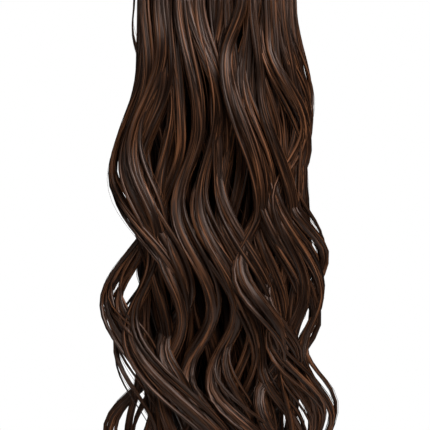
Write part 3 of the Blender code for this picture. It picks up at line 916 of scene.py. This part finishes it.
front = Weft(front_depth, FRONT_HELIX, -1.0, front_root, front_leave, FRONT_REACH, FRONT_ROOT_SPREAD)
print("the base is", round(2 * BASE_HALF_WIDTH), "by", round(2 * BASE_HALF_HEIGHT), "mm")

# %% The parts of a lock
STRAND_RADIUS = 0.27
STRAY_RADIUS = 0.16
STRAYS = 2
BODY_SHARE = 0.72
CLUMP_SHARE = 0.42
CLUMP_SIZES = (0.7, 1.15)
LEAST_CLUMPS = 2
CLUMP_REACH = 0.95
STRAY_REACH = 1.15
LOOSE_ON_BODY = 0.1
LOOSE_ON_CLUMP = 0.12
LOOSE_STRAY = 0.1

# How a lock is made up: the square millimetres of its section for each clump, the corners of its body and of
# its clumps, the strands on each, and the distance between stations
Make = namedtuple("Make", "clump_area body_corners clump_corners on_body on_clump gap")
SHOWN = Make(20.0, 32, 10, 14, 4, STATION_GAP)


def clump_count(lock, make):
    """The lock's width times its thickness, over the section that each clump takes."""
    return max(LEAST_CLUMPS, round(lock.width * lock.thick / make.clump_area))


def lock_tubes(lock, weft, make, rng):
    """A lock's body, the clumps round it, the strands that lie on both, and a few stray ones off them."""
    count = clump_count(lock, make)
    places = sunflower(count + 1)[1:] * CLUMP_REACH
    body_paths = clump_paths(lock, weft, np.zeros((1, 2)), make.gap, rng)
    paths = clump_paths(lock, weft, places, make.gap, rng)
    stray_paths = clump_paths(lock, weft, places[-STRAYS:] * STRAY_REACH, make.gap, rng)
    body = np.array([lock.width / 2 * BODY_SHARE])
    radius = CLUMP_SHARE * math.sqrt(lock.width * lock.thick / count) * rng.uniform(*CLUMP_SIZES, count)
    flat = lock.thick / lock.width
    return [
        clump_tubes(body_paths, body, flat, make.body_corners, rng),
        clump_tubes(paths, radius, 1.0, make.clump_corners, rng),
        strand_tubes(body_paths, body, flat, STRAND_RADIUS, make.on_body, LOOSE_ON_BODY, rng),
        strand_tubes(paths, radius, 1.0, STRAND_RADIUS, make.on_clump, LOOSE_ON_CLUMP, rng),
        strand_tubes(stray_paths, radius[-STRAYS:], 1.0, STRAY_RADIUS, 1, LOOSE_STRAY, rng),
    ]


def placed(piece, *nodes):
    """Says that a piece of hair rides on the part, and which solids it stands for."""
    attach(piece, "root")
    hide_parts(*nodes)


print("the front locks have", sum(clump_count(lock, SHOWN) for lock in FRONT_LOCKS), "clumps in all")

# %% The front locks
SHOWN_LOCKS = sorted(FRONT_LOCKS + LOOSE_LOCKS, key=lambda lock: lock.across)
GROUPS = ("far_left_hair", "left_hair", "middle_hair", "right_hair", "far_right_hair")
FRONT_SEED = 7
rng = np.random.default_rng(FRONT_SEED)
for number, name in enumerate(GROUPS):
    first, last = (round(len(SHOWN_LOCKS) * (number + step) / len(GROUPS)) for step in (0, 1))
    parts = []
    for lock in SHOWN_LOCKS[first:last]:
        parts += lock_tubes(lock, front, SHOWN, rng)
    placed(tube_object(name, parts, outer_hair), "front_weft")

# %% [markdown]
# ## The inner and back wefts
#
# Little of these shows, but they fill the ponytail out and keep daylight from showing through it. One
# smooth core would do that too, but it would show as a block between the locks. They repeat one wave across
# the width. Each lock's number sets its place, and its multiple of the golden ratio sets where its wave
# starts and how long it is, so that no two run alike.

# %% Rows of hidden locks
# Reach is how far the outer locks are from the middle, first turn, shortest and longest are drops, and each
# half wave is the one above it times shrink
Row = namedtuple("Row", "count width thick reach first_turn half_wave shrink swing shortest longest")
MIDDLE_ROW = Row(5, 27, 24, 45, 130, 88, 0.95, 6, 440, 490)
BACK_ROW = Row(8, 24, 8, 50, 120, 88, 0.95, 8, 455, 515)
GOLDEN_SHARE = 0.618034
# Drop, and how much of its place across a lock keeps there
GATHER = np.array(((50, 0.8), (120, 1.0), (300, 1.0), (400, 0.84), (500, 0.7)))
TURN_SPREAD = 0.5
LEAST_TAIL = 0.4
ROOT_GATHER = 0.8


def row_of_locks(row, name):
    """Locks at even places across, which turn one way and back at drops that are half a wave apart."""
    locks = []
    for number in range(row.count):
        place = row.reach * (2 * number / (row.count - 1) - 1)
        golden = (number * GOLDEN_SHARE) % 1.0
        drop = row.first_turn + (golden - 0.5) * row.half_wave * TURN_SPREAD
        half_wave, way, turns = row.half_wave, 1 if number % 2 else -1, []
        end = row.shortest + (row.longest - row.shortest) * golden
        while drop < end - half_wave * LEAST_TAIL:
            turns.append((drop, place * np.interp(drop, GATHER[:, 0], GATHER[:, 1]) + way * row.swing))
            half_wave *= row.shrink
            drop, way = drop + half_wave, -way
        tip = (end, turns[-1][1] - way * row.swing)
        across = place * ROOT_GATHER
        locks.append(Lock(f"{name}_{number + 1}", row.width, row.thick, 0, across, tip, tuple(turns)))
    return locks


# Where the locks of a hidden weft start, and how they leave the base: the root is at gather times the lock's
# place across, so far ahead of the base and so high, and the arch sets out aside, forward and up from there
Arch = namedtuple("Arch", "gather ahead high aside forward up reach root_spread")
MIDDLE_ARCH = Arch(0.6, 16.0, 0.0, 0.0, 0.0, -12.0, 15.0, 0.9)
BACK_ARCH = Arch(0.5, 4.5, -24.0, 0.25, 2.0, -20.0, 12.0, 0.6)


def hidden_weft(depth, helix, side, arch):
    """A weft whose roots and arches are worked out from one Arch."""

    def root(lock):
        """At gather times the lock's place across, ahead of the base."""
        return (lock.across * arch.gather, WEFT_Y - arch.ahead, arch.high)

    def leave(lock):
        """Out by a share of the lock's place across, forward and up."""
        return (lock.across * arch.aside, -arch.forward, arch.up)

    return Weft(depth, helix, side, root, leave, arch.reach, arch.root_spread)


middle = hidden_weft(inner_depth, MIDDLE_HELIX, -1.0, MIDDLE_ARCH)
back = hidden_weft(back_depth, BACK_HELIX, 1.0, BACK_ARCH)
print("a row of", MIDDLE_ROW.count, "locks fills the middle and one of", BACK_ROW.count, "the back")

# %% Rows that fill the depth
BETWEEN_ROW = Row(6, 20, 12, 40, 125, 88, 0.95, 7, 440, 500)
FRONT_FILLER_ARCH = Arch(0.95, 5.0, 7.0, 0.0, 12.0, 14.0, 36.0, 0.9)
BACK_FILLER_ARCH = Arch(0.95, 3.0, 2.0, 0.0, 3.0, -24.0, 15.0, 0.9)
HIDDEN = Make(70.0, 20, 8, 6, 1, 15.0)
BEHIND = Make(36.0, 24, 10, 14, 4, 12.0)
HIDDEN_SEED = 11


def in_front(full):
    """Y halfway between the front and the inner locks."""
    return (front_depth(full) + inner_depth(full)) / 2


def behind(full):
    """Y halfway between the back and the inner locks."""
    return (back_depth(full) + inner_depth(full)) / 2


front_filler = hidden_weft(in_front, MIDDLE_HELIX, -1.0, FRONT_FILLER_ARCH)
back_filler = hidden_weft(behind, MIDDLE_HELIX, -1.0, BACK_FILLER_ARCH)
rng = np.random.default_rng(HIDDEN_SEED)
# The middle and filling rows take the inner hair material, whose darker shades are painted shade; the back
# row takes the outer hair's
for name, row, weft, node, make, finish in (
    ("inner_hair_painted_shade", MIDDLE_ROW, middle, "middle_weft", HIDDEN, inner_hair_painted_shade),
    ("front_filling", BETWEEN_ROW, front_filler, "middle_weft", HIDDEN, inner_hair_painted_shade),
    ("back_filling", BETWEEN_ROW, back_filler, "middle_weft", HIDDEN, inner_hair_painted_shade),
    ("back_hair", BACK_ROW, back, "back_weft", BEHIND, outer_hair),
):
    parts = []
    for lock in row_of_locks(row, name):
        parts += lock_tubes(lock, weft, make, rng)
    placed(tube_object(name, parts, finish), node)

# %% [markdown]
# ## The net base and its sewn seams
#
# The hair is sewn to an oval of stretch net, and the net's edge is bound with a soft rolled tape, held by
# slanting stitches. Each weft's head is a tape as well, folded over the roots. None of these is a flat
# plate: the net swells a little between its stitches, the binding is a roll, and the tapes have rounded
# edges. All of them are one kind of surface: a section with rounded corners, carried along a path.
#
# The weave is drawn by crossing sine waves in Object coordinates, since cloth that lies flat on the base
# does not need a UV map. Net and tape share it as a node group, at two scales.

# %% A section carried along a path
TO_HEAD = (0.0, 1.0, 0.0)
LEAST_END = 0.05


def boxed(angle, power):
    """The cosine and the sine of an angle, each raised to a power with its sign kept. A power of 1 gives a
    circle, and a smaller one a rounded box."""
    return [np.sign(wave) * np.abs(wave) ** power for wave in (np.cos(angle), np.sin(angle))]


def swept(paths, reference, half_side, half_up, power, corners):
    """Rings along each path (row, station, corner, xyz). Side is the reference made square to the path, and
    up is square to both. A corner is at half_side times the boxed cosine along side, and half_up times the
    boxed sine along up."""
    tangent = unit(np.gradient(paths, axis=1))
    reference = np.asarray(reference, dtype=float)
    side = unit(reference - tangent * (tangent @ reference)[..., None])
    up = np.cross(tangent, side)
    sideways, upwards = boxed(np.arange(corners) * 2 * np.pi / corners, power)
    sideways = np.asarray(half_side)[..., None, None] * sideways[:, None]
    upwards = np.asarray(half_up)[..., None, None] * upwards[:, None]
    return paths[:, :, None, :] + sideways * side[:, :, None, :] + upwards * up[:, :, None, :]


def rounded_ends(stations, share):
    """1 along the middle, and a quarter circle down to LEAST_END over this share at each end."""
    place = np.linspace(0, 1, stations)
    near = np.clip(np.minimum(place, 1 - place) / share, 0, 1)
    return np.sqrt(1 - (1 - near) ** 2).clip(LEAST_END)


def swept_object(name, sections, finish, closed=False):
    """One object of swept tubes, or of one tube whose ends meet, smooth, with its faces turned outwards."""
    rows, stations, corners = sections.shape[:3]
    if closed:
        ring = np.arange(stations)[:, None] * corners
        corner = np.arange(corners)[None, :]
        on_ring, on_next = (corner + 1) % corners, (ring + corners) % (stations * corners)
        quads = np.stack([ring + corner, ring + on_ring, on_next + on_ring, on_next + corner], axis=-1)
        faces = quads.reshape(-1, 4).tolist()
    else:
        faces = [face for block in tube_faces(rows, stations, corners) for face in block.tolist()]
    obj = new_mesh_object(name, sections.reshape(-1, 3), faces)
    work = bmesh.new()
    work.from_mesh(obj.data)
    bmesh.ops.recalc_face_normals(work, faces=work.faces)
    work.to_mesh(obj.data)
    work.free()
    obj.data.shade_smooth()
    obj.data.materials.append(finish)
    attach(obj, "root")
    print(name, "has", len(obj.data.polygons), "faces")
    return obj


for power in (1.0, 0.6):
    reach = boxed(np.pi / 4, power)[0]
    print("at 45 degrees a section of power", power, "reaches", round(float(reach), 2), "of its half width")

# %% The weave, as a node group
GROOVE, CROWN = -0.5, 0.6


def weave_group():
    """Threads that cross: the height is sin(X threads) times sin(Z threads), and the mask is 1 on crowns."""
    group = bpy.data.node_groups.new("weave", "ShaderNodeTree")
    add_socket(group, "INPUT", "Place", "NodeSocketVector")
    add_socket(group, "INPUT", "Threads", "NodeSocketFloat", 4000.0)
    add_socket(group, "OUTPUT", "Mask", "NodeSocketFloat")
    add_socket(group, "OUTPUT", "Height", "NodeSocketFloat")
    start, end = add_node(group, "NodeGroupInput"), add_node(group, "NodeGroupOutput")
    parts = add_node(group, "ShaderNodeSeparateXYZ")
    group.links.new(start.outputs["Place"], parts.inputs["Vector"])
    waves = []
    for axis in ("X", "Z"):
        phase = math_node(group, "MULTIPLY", parts.outputs[axis], start.outputs["Threads"])
        waves.append(math_node(group, "SINE", phase, 0.0))
    height = math_node(group, "MULTIPLY", *waves)
    group.links.new(height, end.inputs["Height"])
    group.links.new(map_range(group, height, GROOVE, CROWN, 0.0, 1.0), end.inputs["Mask"])
    return group


weave = weave_group()
print("node group", weave.name, "crosses two waves")

# %% Cloth materials
FUZZ_SCALE = 260.0
FUZZ_LEAST = 0.6
CLOTH_ROUGH, CLOTH_WORN = 0.95, 0.7
CLOTH_BUMP = 0.8


def cloth_material(name, thread, shadow, threads, relief):
    """Woven cloth, thread coloured on its crowns and shadow coloured between them, with a patchy fuzz."""
    made, tree, shader = new_material(name)
    place = add_node(tree, "ShaderNodeTexCoord")
    woven = add_node(tree, "ShaderNodeGroup", node_tree=weave)
    tree.links.new(place.outputs["Object"], woven.inputs["Place"])
    woven.inputs["Threads"].default_value = threads
    fuzz = add_node(tree, "ShaderNodeTexNoise")
    fuzz.inputs["Scale"].default_value = FUZZ_SCALE
    tree.links.new(place.outputs["Object"], fuzz.inputs["Vector"])
    cover = map_range(tree, fuzz.outputs["Fac"], NOISE_LOW, NOISE_HIGH, FUZZ_LEAST, 1.0)
    # Crowns get the thread colour and the grooves between threads a painted shadow colour; the fuzz thins
    # the thread colour in patches, and worn crowns are smoother
    shade_and_wear_mask = math_node(tree, "MULTIPLY", woven.outputs["Mask"], cover)
    tree.links.new(mix_colours(tree, shade_and_wear_mask, shadow, thread), shader.inputs["Base Color"])
    roughness = map_range(tree, shade_and_wear_mask, 0.0, 1.0, CLOTH_ROUGH, CLOTH_WORN)
    tree.links.new(roughness, shader.inputs["Roughness"])
    add_bump(tree, woven.outputs["Height"], CLOTH_BUMP, relief)
    return made


Cloth = namedtuple("Cloth", "name thread shadow threads relief")
CLOTHS = (
    Cloth("stretch_net", (0.055, 0.042, 0.036), (0.004, 0.003, 0.003), 2600.0, 0.5),
    Cloth("woven_tape", (0.055, 0.035, 0.026), (0.010, 0.007, 0.005), 4200.0, 0.3),
    Cloth("twisted_thread", (0.11, 0.070, 0.052), (0.030, 0.020, 0.015), 9000.0, 0.1),
)
net_cloth, tape_cloth, thread = (cloth_material(*cloth) for cloth in CLOTHS)
print("cloth materials", net_cloth.name, tape_cloth.name, thread.name)

# %% The net and its bound edge
NET_RINGS = 14
FIRST_RING = 0.02
OVAL_STEPS = 96
NET_HALF_DEPTH = 1.35
NET_EDGE_POWER = 6
NET_SWELL = 0.12
NET_SWELLS = 6
BINDING_RADIUS = 2.2
BINDING_HALF_DEPTH = 1.5
BINDING_CORNERS = 12
PUCKER = 0.09
PUCKERS = 42


def oval(angle, inset):
    """Points of the base's outline, moved in by the inset: (width cos a, 0, height sin a)."""
    across, high = (BASE_HALF_WIDTH - inset) * np.cos(angle), (BASE_HALF_HEIGHT - inset) * np.sin(angle)
    return np.stack([across, np.zeros_like(angle), high], axis=-1)


# The net's two faces are one row of rings, out from the middle of one face and back in on the other
base_middle = (base_low[1] + base_high[1]) / 2
round_base = np.linspace(0, 2 * np.pi, OVAL_STEPS, endpoint=False)
share = np.concatenate([np.linspace(FIRST_RING, 1, NET_RINGS), np.linspace(1, FIRST_RING, NET_RINGS)[1:]])
side_of_net = np.sign(np.arange(len(share)) - (NET_RINGS - 1))
swell = 1 + NET_SWELL * np.sin(NET_SWELLS * round_base)[None, :] * np.sin(np.pi * share)[:, None]
depth = side_of_net[:, None] * NET_HALF_DEPTH * np.sqrt(1 - share**NET_EDGE_POWER)[:, None] * swell
net = share[:, None, None] * oval(round_base, BINDING_RADIUS)[None]
net[..., 1] = base_middle + depth
base_net = swept_object("base_net", net[None], net_cloth)

# The binding is a roll round that edge, drawn in a little at every second stitch
edge_path = oval(round_base, BINDING_RADIUS)[None] + np.array((0.0, base_middle, 0.0))
tangent = unit(np.roll(edge_path, -1, axis=1) - np.roll(edge_path, 1, axis=1))
outward = np.cross(tangent, TO_HEAD)
round_roll = np.linspace(0, 2 * np.pi, BINDING_CORNERS, endpoint=False)[:, None]
puckered = BINDING_RADIUS * (1 + PUCKER * np.cos(PUCKERS * round_base))[None, :, None, None]
depth_share = np.array((0.0, BINDING_HALF_DEPTH / BINDING_RADIUS, 0.0)) * np.sin(round_roll)
roll = puckered * (np.cos(round_roll) * outward[:, :, None, :] + depth_share)
binding = swept_object("edge_binding", edge_path[:, :, None, :] + roll, tape_cloth, closed=True)

for piece in (base_net, binding):
    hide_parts("base")

# %% Stitches round the binding
STITCHES = 84
STITCH_RADIUS = 0.36
STITCH_SLANT = 0.035
STITCH_STATIONS = 7
STITCH_CORNERS = 6
STITCH_REACH = 1.02
STITCH_ARCH = 0.98
STITCH_PROUD = 0.4

over = np.linspace(-1, 1, STITCH_STATIONS)
stitch_angle = np.linspace(0, 2 * np.pi, STITCHES, endpoint=False)[:, None] + over[None, :] * STITCH_SLANT
stitches = []
for face in (-1.0, 1.0):
    inset = BINDING_RADIUS * (1 - over * STITCH_REACH)
    path = oval(stitch_angle, np.broadcast_to(inset, stitch_angle.shape))
    proud = BINDING_HALF_DEPTH * np.sqrt(1 - (over * STITCH_ARCH) ** 2) + STITCH_RADIUS * STITCH_PROUD
    path[..., 1] = base_middle + face * proud
    stitches.append(swept(path, TO_HEAD, STITCH_RADIUS, STITCH_RADIUS, 1.0, STITCH_CORNERS))
edge_stitches = swept_object("edge_stitches", np.concatenate(stitches), thread)
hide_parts("base")

# %% The heads of the wefts
Head = namedtuple("Head", "name node half_width low high depth tapes arched")
HEADS = (
    Head("front_seam", "front_weft", 40.0, -11.0, -1.0, 7.0, 1, True),
    Head("middle_seam", "middle_weft", 30.0, -8.0, 8.0, 24.0, 4, False),
    Head("back_seam", "back_weft", 30.0, -27.0, -15.0, 8.0, 2, False),
)
HEAD_STATIONS = 49
HEAD_CORNERS = 20
HEAD_END = 0.06
HEAD_BOX = 0.6
for head in HEADS:
    columns = np.linspace(-head.half_width, head.half_width, HEAD_STATIONS)
    rise = np.array([base_edge(across) if head.arched else 0.0 for across in columns])
    middle_height = (head.low + head.high) / 2 + rise
    half_tape = head.depth / head.tapes / 2
    path = np.zeros((head.tapes, len(columns), 3))
    path[..., 0], path[..., 2] = columns, middle_height
    path[..., 1] = WEFT_Y - half_tape * (1 + 2 * np.arange(head.tapes))[:, None]
    ends = rounded_ends(HEAD_STATIONS, HEAD_END)
    half_height = (head.high - head.low) / 2
    section = swept(path, TO_HEAD, ends * half_tape, ends * half_height, HEAD_BOX, HEAD_CORNERS)
    tape = swept_object(head.name, section, tape_cloth)
    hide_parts(head.node)

# %% [markdown]
# ## The comb
#
# The comb is moulded in one piece: a rounded spine, and teeth that taper to blunt tips so that they slide
# into hair. It is sewn to the base with a few turns of thread over its spine. Spine and teeth could be cut
# from a box, but the section carried along a path gives them rounded edges with few faces. The plastic is a
# very dark brown with a soft gloss that the mould's fine grain breaks up.

# %% Comb plastic
CLOUD_SCALE, GRAIN_SCALE = 70.0, 1500.0
PLASTIC_DARK = (0.022, 0.012, 0.008)
PLASTIC_LIGHT = (0.055, 0.029, 0.018)
PLASTIC_GLOSS, PLASTIC_SATIN = 0.26, 0.42
GRAIN_BUMP = 0.15
GRAIN_RELIEF = 0.1

comb_plastic, tree, shader = new_material("moulded_plastic")
place = add_node(tree, "ShaderNodeTexCoord")
cloud, grain = add_node(tree, "ShaderNodeTexNoise"), add_node(tree, "ShaderNodeTexNoise")
for noise, scale in ((cloud, CLOUD_SCALE), (grain, GRAIN_SCALE)):
    noise.inputs["Scale"].default_value = scale
    tree.links.new(place.outputs["Object"], noise.inputs["Vector"])
shade = mix_colours(tree, cloud.outputs["Fac"], PLASTIC_DARK, PLASTIC_LIGHT)
tree.links.new(shade, shader.inputs["Base Color"])
satin = map_range(tree, cloud.outputs["Fac"], NOISE_LOW, NOISE_HIGH, PLASTIC_GLOSS, PLASTIC_SATIN)
tree.links.new(satin, shader.inputs["Roughness"])
add_bump(tree, grain.outputs["Fac"], GRAIN_BUMP, GRAIN_RELIEF)
print("comb finish", comb_plastic.name)

# %% The comb's spine
comb_low, comb_high = (np.array(corner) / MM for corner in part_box("comb"))
SPINE_HALF_HEIGHT = 3.5
SPINE_HALF_DEPTH = 1.2
SPINE_STATIONS = 41
SPINE_CORNERS = 20
SPINE_END = 0.05
SPINE_BOX = 0.55

spine_path = np.zeros((1, SPINE_STATIONS, 3))
spine_path[..., 0] = np.linspace(comb_low[0], comb_high[0], SPINE_STATIONS)
spine_path[..., 1] = -SPINE_HALF_DEPTH
ends = rounded_ends(SPINE_STATIONS, SPINE_END)
spine_sizes = (ends * SPINE_HALF_DEPTH, ends * SPINE_HALF_HEIGHT)
spine = swept(spine_path, TO_HEAD, *spine_sizes, SPINE_BOX, SPINE_CORNERS)
spine_piece = swept_object("comb_spine", spine, comb_plastic)

# %% The comb's teeth
TEETH = 15
TOOTH_ROOT = (0.85, 0.7)
TOOTH_TIP = (0.5, 0.42)
TOOTH_STATIONS = 12
TOOTH_CORNERS = 10
TOOTH_BOX = 0.7
TOOTH_IN_SPINE = 1.0
BLUNT_FROM = 0.93
LEAST_TOOTH = 0.15

down = np.linspace(0, 1, TOOTH_STATIONS)
# Teeth taper from root to tip in a straight line, and end in a quarter circle
tooth_across = np.linspace(comb_low[0] + TOOTH_ROOT[0], comb_high[0] - TOOTH_ROOT[0], TEETH)
tooth_paths = np.zeros((TEETH, len(down), 3))
tooth_paths[..., 0] = tooth_across[:, None]
tooth_paths[..., 1] = -TOOTH_ROOT[1]
tooth_top = -SPINE_HALF_HEIGHT + TOOTH_IN_SPINE
tooth_paths[..., 2] = tooth_top + (comb_low[2] - tooth_top) * down
blunt = np.sqrt(1 - np.clip((down - BLUNT_FROM) / (1 - BLUNT_FROM), 0, 1) ** 2).clip(LEAST_TOOTH)
half_width, half_depth = ((root + (tip - root) * down) * blunt for root, tip in zip(TOOTH_ROOT, TOOTH_TIP))
teeth = swept(tooth_paths, ACROSS, half_width, half_depth, TOOTH_BOX, TOOTH_CORNERS)
teeth_piece = swept_object("comb_teeth", teeth, comb_plastic)
for piece in (spine_piece, teeth_piece):
    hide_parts("comb")

# %% The thread that sews the comb on
WRAPS = 5
WRAPS_REACH = 24
TURNS_EACH = 4
TURN_GAP = 0.62
TURN_ROUND = 0.62
TURN_STATIONS = 15
THREAD_RADIUS = 0.28
THREAD_CORNERS = 6
THREAD_PROUD = 0.15

within_wrap = (np.arange(TURNS_EACH) - (TURNS_EACH - 1) / 2) * TURN_GAP
wrap_across = np.linspace(-WRAPS_REACH, WRAPS_REACH, WRAPS)[:, None] + within_wrap[None, :]
turn = np.linspace(-TURN_ROUND * np.pi, TURN_ROUND * np.pi, TURN_STATIONS)
out, over_spine = boxed(turn, SPINE_BOX)
loops = np.zeros((WRAPS * TURNS_EACH, TURN_STATIONS, 3))
loops[..., 0] = wrap_across.reshape(-1, 1)
loops[..., 1] = -SPINE_HALF_DEPTH + (SPINE_HALF_DEPTH + THREAD_PROUD) * out
loops[..., 2] = (SPINE_HALF_HEIGHT + THREAD_PROUD) * over_spine
turns_of_thread = swept(loops, ACROSS, THREAD_RADIUS, THREAD_RADIUS, 1.0, THREAD_CORNERS)
wraps = swept_object("comb_thread", turns_of_thread, thread)
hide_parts("comb")
